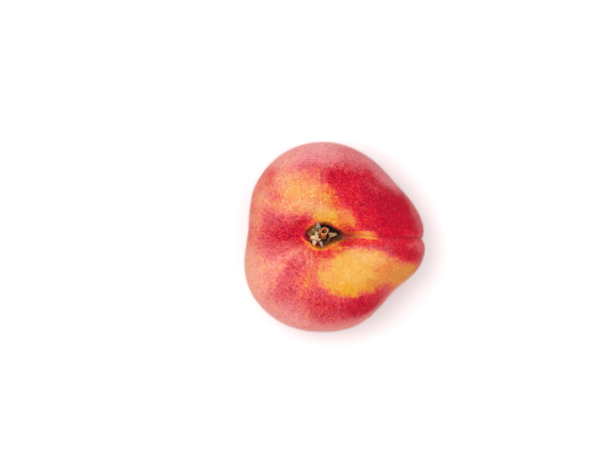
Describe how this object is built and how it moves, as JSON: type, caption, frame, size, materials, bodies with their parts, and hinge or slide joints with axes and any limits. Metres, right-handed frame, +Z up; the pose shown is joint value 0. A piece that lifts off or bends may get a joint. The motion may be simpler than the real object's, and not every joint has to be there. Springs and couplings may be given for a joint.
{
  "type": "flat peach",
  "caption": "Squat, lobed flat peach with a suture crease, a deep stalk pit holding a broken stalk end and dry bud scales, and a shallow basin below.",
  "frame": {"origin": "under the middle of the fruit's bounding box, on the surface it rests on", "axes": "+Z up through the stalk side, +X towards the suture, +Y across the suture along the widest part"},
  "size_m": [0.0682, 0.0718, 0.0397],
  "materials": {
    "skin": "matte velvet fuzz, crimson blush over yellow-orange ground",
    "stalk_bark": "dry brown, torn fibres",
    "dry_scale": "dry papery tan with grey-olive tips"
  },
  "bodies": {
    "root": {"fruit": "skin", "stalk_stub": "stalk_bark", "bud_scales": "dry_scale"}
  },
  "joints": []
}
